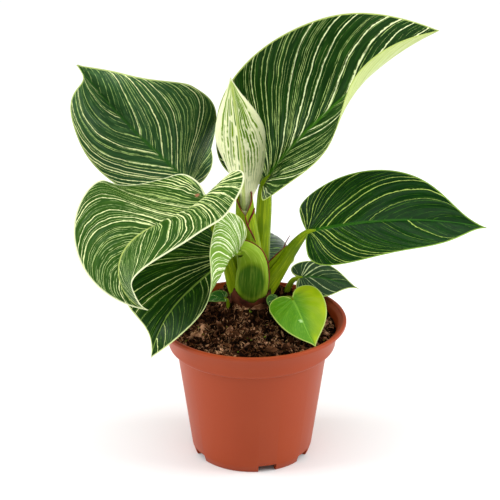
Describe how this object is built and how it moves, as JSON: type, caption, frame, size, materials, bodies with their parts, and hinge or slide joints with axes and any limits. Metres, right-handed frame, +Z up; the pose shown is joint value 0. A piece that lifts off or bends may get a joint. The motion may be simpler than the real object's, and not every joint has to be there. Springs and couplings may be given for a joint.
{
  "type": "potted philodendron",
  "caption": "Potted philodendron with broad pin-striped green leaves on arching petioles, a pale half-rolled new leaf and dark soil in a tapered plastic nursery pot.",
  "frame": {"origin": "middle of the pot's underside, on the surface it stands on", "axes": "+Z up along the pot's axis; the front of the plant, as in the picture, faces -Y, and +X is to its right"},
  "size_m": [0.2624, 0.2057, 0.2749],
  "materials": {
    "leaf": "satin dark green with pale yellow pinstripes along the veins",
    "young_leaf": "satin bright green",
    "new_leaf": "satin cream with green stripes",
    "stem": "green, fibrous",
    "dried_sheath": "brown, dry and papery",
    "soil": "coarse moist peat",
    "pot": "terracotta-coloured, satin"
  },
  "bodies": {
    "root": {"leaf_top": "leaf", "leaf_upper_left": "leaf", "leaf_front_left": "leaf", "leaf_lower_left": "leaf", "leaf_right": "leaf", "leaf_small_right": "leaf", "leaf_back": "leaf", "leaf_heart": "young_leaf", "sprout_front": "young_leaf", "sprout_left": "young_leaf", "leaf_new": "new_leaf", "stem": "stem", "dried_sheath": "dried_sheath", "soil": "soil", "pot": "pot"}
  },
  "joints": []
}
